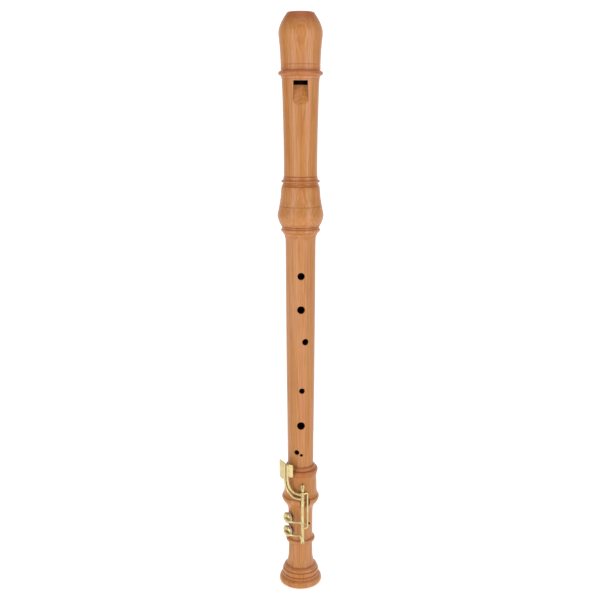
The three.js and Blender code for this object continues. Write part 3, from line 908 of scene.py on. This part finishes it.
def tenon_cork(name, end, shoulder, socket, body):
    """The cork lapping in a tenon's groove."""
    side = 1 if shoulder > end else -1
    limits = sorted((end + side * CORK_INSET, end + side * (CORK_INSET + CORK_LENGTH)))
    outer = socket - CORK_CLEARANCE
    inner = outer - CORK_THICKNESS
    outline = [(inner, limits[0]), (outer, limits[0]), (outer, limits[1]), (inner, limits[1])]
    piece(name, turned(in_rows(softened(outline, 0.2))), CORK, body)


def foot_cut_shade(place):
    """The painted shade of a place: 0 on the notch in the big bead, a painted shadow under the pad in a pad's
    seat, and 1 inside the foot.
    """
    on_notch = NOTCH_BOTTOM - 0.5 < place.z < NOTCH_TOP + 0.5
    if on_notch and math.hypot(place.x, place.y) > NOTCH_FLOOR - NEAR:
        return 0.0
    out = around(PAD_ANGLE, 1)
    beside = min((place - Vector((0, 0, z))).cross(out).length for z in PAD_HEIGHTS.values())
    on_seat = place.dot(out) > SEAT_DEPTH - NEAR and beside < SEAT_RADIUS + NEAR
    # A pad's seat gets a painted shadow, the shade that falls under the pad
    return SEAT_PAINTED_SHADOW if on_seat else 1.0


def foot_joint():
    """The foot: its turned wall, cut by the notch under the keys, the pads' seats and the tone holes."""
    shoulder = FOOT_TOP - TENON - LOWER_SOCKET_ROOM
    inside = [
        (LOWER_SOCKET, FOOT_TOP), (LOWER_SOCKET, shoulder), (FOOT_BORE_TOP, shoulder),
        (FOOT_BORE_WAIST, WAIST_HEIGHT), (BELL_MOUTH, 0),
    ]
    wall = turned(in_rows(softened(FOOT_OUTSIDE + inside)))
    start, end = (NOTCH_START, NOTCH_OUTSIDE), (NOTCH_END, NOTCH_OUTSIDE)
    cutters = [curved_plate(start, end, NOTCH_BOTTOM, NOTCH_TOP, NOTCH_OUTSIDE - NOTCH_FLOOR)]
    for z in PAD_HEIGHTS.values():
        cutters.append(radial_bar(PAD_ANGLE, z, SEAT_DEPTH, SEAT_OUTSIDE, SEAT_RADIUS, 64))
        cutters.append(radial_bar(PAD_ANGLE, z, TONE_HOLE_START, SEAT_OUTSIDE, TONE_HOLE, 40))
    made = piece("foot_joint", cut(wall, cutters), FOOT_WOOD, "foot")
    paint_inside_shade(made, FOOT_OUTSIDE, foot_cut_shade)
    paint_groove_shade(made, FOOT_GROOVES)


# ---------------------------------------------------------------- key work


def at_hinge(bm):
    return moved(bm, Matrix.Translation(HINGE))


def post(name, place, flip):
    """A post: a slotted barrel round the rod, a waisted neck and a collar on the wood."""
    bottom, top, wood = place["bottom"], place["top"], place["wood"]
    height = top - bottom
    outline = smooth([
        (1.2, 0), (1.5, 0.5), (1.7, height * 0.3),
        (2.15, height * 0.62), (2.2, height * 0.86), (1.9, height),
    ], 24)
    bore = ROD + 0.3
    barrel = turned([(bore, 0)] + outline + [(bore, height)], METAL_SIDES)
    slot = moved(box(0.75, 3, height * 0.62), Matrix.Translation((0, -1.9, height * 0.86)))
    nubs = moved(box(8, 0.9, height), Matrix.Translation((0, -2.35, height * 0.1)))
    barrel = cut(barrel, [slot, nubs])
    if flip:
        barrel = moved(barrel, Matrix.Translation((0, 0, height)) @ Matrix.Rotation(math.pi, 4, "Y"))
    barrel = at_hinge(moved(barrel, Matrix.Translation((0, 0, bottom))))
    middle = (bottom + top) / 2
    reach = HINGE_RADIUS - wood
    outline = [(2.4, -1.2), (2.4, 0.55), (2.1, 0.85), (1.5, 1.1), (1.25, reach * 0.5), (1.5, reach - 0.9)]
    neck = turned([(0, -1.2)] + outline + [(0, reach - 0.9)], METAL_SIDES)
    neck = moved(neck, outward(HINGE_ANGLE, wood, middle))
    hole = at_hinge(round_bar(bore, bottom - 1, top + 1))
    piece(name, cut(join(barrel, [neck]), [hole]), BRASS, "foot")


def hinge_rod():
    """The steel rod that both keys turn on, with a screwdriver slot in its upper end."""
    top = UPPER_POST["top"] - 0.2
    bar = at_hinge(round_bar(ROD, LOWER_POST["bottom"], top, METAL_SIDES, 0.15))
    slot = moved(box(0.4, 3, 1), Matrix.Translation(HINGE + Vector((0, 0, top))))
    piece("hinge_rod", cut(bar, [slot]), STEEL, "foot")


def tube_shape(bottom, top):
    """A hinge tube with a rounded collar at each end, bored for the rod."""
    collar = 1.5
    outline = [
        (TUBE_BORE, bottom), (TUBE_COLLAR, bottom), (TUBE_COLLAR, bottom + collar),
        (TUBE, bottom + collar + 0.3), (TUBE, top - collar - 0.3),
        (TUBE_COLLAR, top - collar), (TUBE_COLLAR, top), (TUBE_BORE, top),
    ]
    return at_hinge(turned(in_rows(softened(outline, 0.3)), METAL_SIDES))


def long_tube(bottom, top):
    """The sharp key's tube, with a small heel that meets the stop cork when the key stands open."""
    heel = box(*HEEL_SIZE)
    bmesh.ops.bevel(heel, geom=heel.edges, offset=0.2, segments=2, affect="EDGES")
    place = Matrix.Translation(HINGE + Vector((*HEEL_OFFSET, HEEL_HEIGHT)))
    heel = moved(heel, place @ Matrix.Rotation(math.radians(HEEL_TURN), 4, "Z"))
    bore = at_hinge(round_bar(TUBE_BORE, bottom - 1, top + 1))
    return cut(join(tube_shape(bottom, top), [heel]), [bore])


def opened():
    """The turn from a closed key to the open one that is modelled."""
    turn = Matrix.Rotation(math.radians(OPEN_ANGLE), 4, "Z")
    return Matrix.Translation(HINGE) @ turn @ Matrix.Translation(-HINGE)


def cup_shape():
    """A domed shell, open towards the pad, with a rolled rim and a small boss."""
    outer, inner = [], []
    steps = 14
    for i in range(steps + 1):
        t = i / steps * math.pi / 2
        spread = math.cos(t) ** 0.6 if i < steps else 0
        rise = math.sin(t)
        outer.append((CUP_RADIUS * spread, CUP_SIDE + (CUP_DOME - CUP_SIDE) * rise))
        inner.append(((CUP_RADIUS - CUP_WALL) * spread, CUP_SIDE + (CUP_DOME - CUP_WALL - CUP_SIDE) * rise))
    middle = CUP_RADIUS - CUP_WALL / 2
    rim = [(CUP_RADIUS, 0.25), (middle + 0.2, 0), (middle - 0.2, 0), (CUP_RADIUS - CUP_WALL, 0.25)]
    return turned(list(reversed(outer)) + rim + inner, PAD_SIDES)


def pad_shape():
    """A leather pad with a rolled edge and a shallow ring pressed in by the tone hole."""
    face = [(0, 0.14), (TONE_HOLE - 0.7, 0.12), (TONE_HOLE, 0.3), (TONE_HOLE + 0.7, 0.1), (PAD_RADIUS - 1, 0)]
    edge = [(PAD_RADIUS - 0.35, 0.15), (PAD_RADIUS, 0.6), (PAD_RADIUS, PAD_THICKNESS - 0.3),
            (PAD_RADIUS - 0.3, PAD_THICKNESS)]
    return turned(smooth(face, 16) + smooth(edge, 12)[1:] + [(0, PAD_THICKNESS)], PAD_SIDES)


def pad_and_cup(name, body, z):
    """A pad and the cup that holds it, at the height of their tone hole."""
    face = SEAT_DEPTH + SEAT_GAP
    pad = piece(name + "_pad", moved(pad_shape(), opened() @ outward(PAD_ANGLE, face, z)), LEATHER, body)
    place = opened() @ outward(PAD_ANGLE, face + PAD_SHOWING, z)
    piece(name + "_cup", moved(cup_shape(), place), BRASS, body)


def pad_arm(name, body, z):
    """The bar from a hinge tube to the top of the cup's dome."""
    crown = opened() @ around(PAD_ANGLE, SEAT_DEPTH + SEAT_GAP + PAD_SHOWING + CUP_DOME, z)
    out = (opened().to_3x3() @ around(PAD_ANGLE, 1)).normalized()
    start = (HINGE.x - TUBE + 0.3, HINGE.y - 0.3, z)
    points = [start, (-6.5, -21.6, z), (-13.5, -18.7, z), crown + out * PAD_ARM * 0.7]
    piece(name, swept_bar(points, PAD_ARM, 28, flare_start=0.45, flare_end=0.35), BRASS, body)


def touch_arm(name, body, route, tube_height):
    """The J-shaped bar from a touch plate's lower edge round to its hinge tube."""
    bend = [around(angle, radius, z) for angle, radius, z in route]
    end = Vector((HINGE.x - TUBE + 0.2, HINGE.y - 0.2, tube_height))
    piece(name, swept_bar(bend + [end], ARM, 48, flare_start=0.15, flare_end=0.5), BRASS, body)


def touch(name, body, first, last, bottom, top, corner):
    """A touch plate between two angles, with rounded corners."""
    ends = (first, TOUCH_RADIUS), (last, TOUCH_RADIUS)
    piece(name, curved_plate(*ends, bottom, top, TOUCH_THICKNESS, corner, TOUCH_EDGE), BRASS, body)


def flat_spring(name, body, start, end, bottom):
    """A spring strip behind a touch arm."""
    ends = (start, SPRING_START_RADIUS), (end, SPRING_END_RADIUS)
    top = bottom + SPRING_WIDTH
    piece(name, curved_plate(*ends, bottom, top, SPRING_THICKNESS, 0.4, 0.1), STEEL, body)


def sharp_key():
    """The upper key. Its touch is the outer, wider plate."""
    body = "low_c_sharp_key"
    touch("low_c_sharp_touch", body, 80, 49, 133, 154.5, 2.2)
    route = [(46.5, 24.1, 153), (46.5, 24.1, 145), (46.5, 24.1, 138), (46, 24.1, 131.5), (41.7, 23.8, 124.6),
             (30.5, 23.5, 118.4), (15.6, 22.9, 113.9)]
    touch_arm("low_c_sharp_arm", body, route, 112)
    piece("low_c_sharp_tube", long_tube(TUBE_TOPS["lower"] + TUBE_GAP, TUBE_TOPS["long"]), BRASS, body)
    pad_arm("low_c_sharp_pad_arm", body, PAD_HEIGHTS["sharp"])
    pad_and_cup("low_c_sharp", body, PAD_HEIGHTS["sharp"])
    flat_spring("low_c_sharp_spring", body, 27, 12, 113)


def side_bar_path():
    """The points of the bar that runs beside the sharp key's tube."""
    x, y = SIDE_BAR_PLACE
    top, bottom, bend = SIDE_BAR_TOP, SIDE_BAR_BOTTOM, SIDE_BAR_BEND
    start = HINGE + Vector((TUBE - 0.3, 0.1, 0))
    return [
        (start.x, start.y, top - 0.3), (x - 1.4, y - 1.1, top), (x - 0.2, y - 0.2, top - 0.7),
        (x, y, top - bend), (x, y, (top + bottom) / 2), (x, y, bottom + bend),
        (x - 0.2, y - 0.2, bottom + 0.7), (x - 1.4, y - 1.1, bottom), (start.x, start.y, bottom),
    ]


def natural_key():
    """The lower key. A side bar carries its motion past the sharp key's tube."""
    body = "low_c_key"
    touch("low_c_touch", body, 35, 20.5, 138.5, 153.6, 1.2)
    route = [(37.7, 24, 152.4), (37.7, 24, 145), (37.7, 24, 138), (37, 24, 132.5), (32.6, 23.8, 126.4),
             (23.3, 23.4, 122.2), (13.6, 22.9, 119.2)]
    touch_arm("low_c_arm", body, route, 117.4)
    piece("low_c_upper_tube", tube_shape(TUBE_TOPS["long"] + TUBE_GAP, TUBE_TOPS["upper"]), BRASS, body)
    piece("low_c_lower_tube", tube_shape(LOWER_TUBE_BOTTOM, TUBE_TOPS["lower"]), BRASS, body)
    bar = swept_bar(side_bar_path(), SIDE_BAR, 96, flare_start=0.35, flare_end=0.35)
    piece("low_c_side_bar", bar, BRASS, body)
    pad_arm("low_c_pad_arm", body, PAD_HEIGHTS["natural"])
    pad_and_cup("low_c", body, PAD_HEIGHTS["natural"])
    flat_spring("low_c_spring", body, 27, 18, 119.8)


def stops():
    """The cork that the sharp key's heel meets, and the felt beside the side bar."""
    cork = radial_bar(STOP_ANGLE, HEEL_HEIGHT, STOP_FOOT, STOP_FACE, STOP_RADIUS, METAL_SIDES, 0.2)
    piece("low_c_sharp_stop_cork", cork, CORK, "foot")
    felt = curved_plate(FELT_START, FELT_END, FELT_BOTTOM, FELT_TOP, FELT_THICKNESS, 0.5, 0.25)
    piece("low_c_bumper_felt", felt, FELT, "foot")


# ---------------------------------------------------------------- studio


def studio_material():
    """A matt white that glows a little, so that it stays white in the shade."""
    white = (0.9, 0.9, 0.9, 1)
    return new_material("backdrop", Base_Color=white, Roughness=0.9, Specular_IOR_Level=0.1,
                        Emission_Color=(1, 1, 1, 1), Emission_Strength=0.5)[0]


def studio_object(name, bm, material):
    """An object of the studio, made from a bmesh in metres that it uses up."""
    mesh = bpy.data.meshes.new(name)
    bm.to_mesh(mesh)
    bm.free()
    mesh.polygons.foreach_set("use_smooth", [True] * len(mesh.polygons))
    mesh.materials.append(material)
    made = bpy.data.objects.new(name, mesh)
    bpy.context.scene.collection.objects.link(made)
    return made


def surround():
    """A white cylinder round the studio, which only the camera sees."""
    bm = bmesh.new()
    place = Matrix.Translation((0, 0, 1))
    bmesh.ops.create_cone(bm, segments=64, radius1=4.6, radius2=4.6, depth=6, matrix=place)
    white = new_material("surround", Base_Color=(0, 0, 0, 1), Specular_IOR_Level=0,
                         Emission_Color=(1, 1, 1, 1), Emission_Strength=1)[0]
    ring = studio_object("surround", bm, white)
    for rays in ("diffuse", "glossy", "transmission", "volume_scatter", "shadow"):
        setattr(ring, "visible_" + rays, False)


def backdrop():
    """A pale floor that sweeps up into a wall."""
    front, floor, turn, top, side = -3000, 2200, 900, 4000, 4500
    outline = [(front, 0), (floor, 0)]
    for k in range(1, 11):
        a = math.radians(9 * k)
        outline.append((floor + turn * math.sin(a), turn - turn * math.cos(a)))
    outline.append((floor + turn, top))
    bm = bmesh.new()
    rows = [[bm.verts.new((x * MM, y * MM, z * MM)) for x in (-side, side)] for y, z in outline]
    for low, high in zip(rows, rows[1:]):
        bm.faces.new([low[0], low[1], high[1], high[0]])
    sweep = studio_object("backdrop", bm, studio_material())


def softbox(name, place, aim, width, height, power):
    """A rectangular lamp that the camera doesn't see."""
    light = bpy.data.lights.new(name, "AREA")
    light.shape = "RECTANGLE"
    light.size = width
    light.size_y = height
    light.energy = power
    lamp = bpy.data.objects.new(name, light)
    lamp.location = place
    lamp.rotation_euler = (Vector(aim) - Vector(place)).to_track_quat("-Z", "Y").to_euler()
    lamp.visible_camera = False
    bpy.context.scene.collection.objects.link(lamp)


def studio():
    scene = bpy.context.scene
    scene.view_settings.view_transform = "Standard"
    world = bpy.data.worlds.new("studio")
    world.use_nodes = True
    world.node_tree.nodes["Background"].inputs["Color"].default_value = (1, 1, 1, 1)
    world.node_tree.nodes["Background"].inputs["Strength"].default_value = 0.42
    scene.world = world
    softbox("left_softbox", (-1.2, -1.4, 0.45), (0, 0, 0.32), 0.7, 1.4, 14)
    softbox("right_softbox", (1.25, -1.2, 0.5), (0, 0, 0.32), 0.7, 1.4, 12)
    softbox("top_softbox", (0, -0.2, 2.2), (0, 0, 0.3), 1.2, 1.2, 5)


def camera():
    data = bpy.data.cameras.new("camera")
    data.sensor_width = SENSOR
    data.lens = LENS
    pitch = math.radians(CAMERA_PITCH)
    view = bpy.data.objects.new("camera", data)
    back = Vector((0, -math.cos(pitch), math.sin(pitch))) * CAMERA_DISTANCE
    view.location = (Vector(CAMERA_AIM) + back) * MM
    view.rotation_euler = (math.pi / 2 - pitch, 0, 0)
    bpy.context.scene.collection.objects.link(view)
    bpy.context.scene.camera = view


camera()
studio()
backdrop()
surround()
head_joint()
block()
middle_joint()
tenon_cork("upper_tenon_cork", HEAD_BOTTOM + TENON, HEAD_BOTTOM, UPPER_SOCKET, "upper_cork")
tenon_cork("lower_tenon_cork", FOOT_TOP - TENON, FOOT_TOP, LOWER_SOCKET, "lower_cork")
foot_joint()
post("upper_post", UPPER_POST, False)
post("lower_post", LOWER_POST, True)
hinge_rod()
sharp_key()
natural_key()
stops()
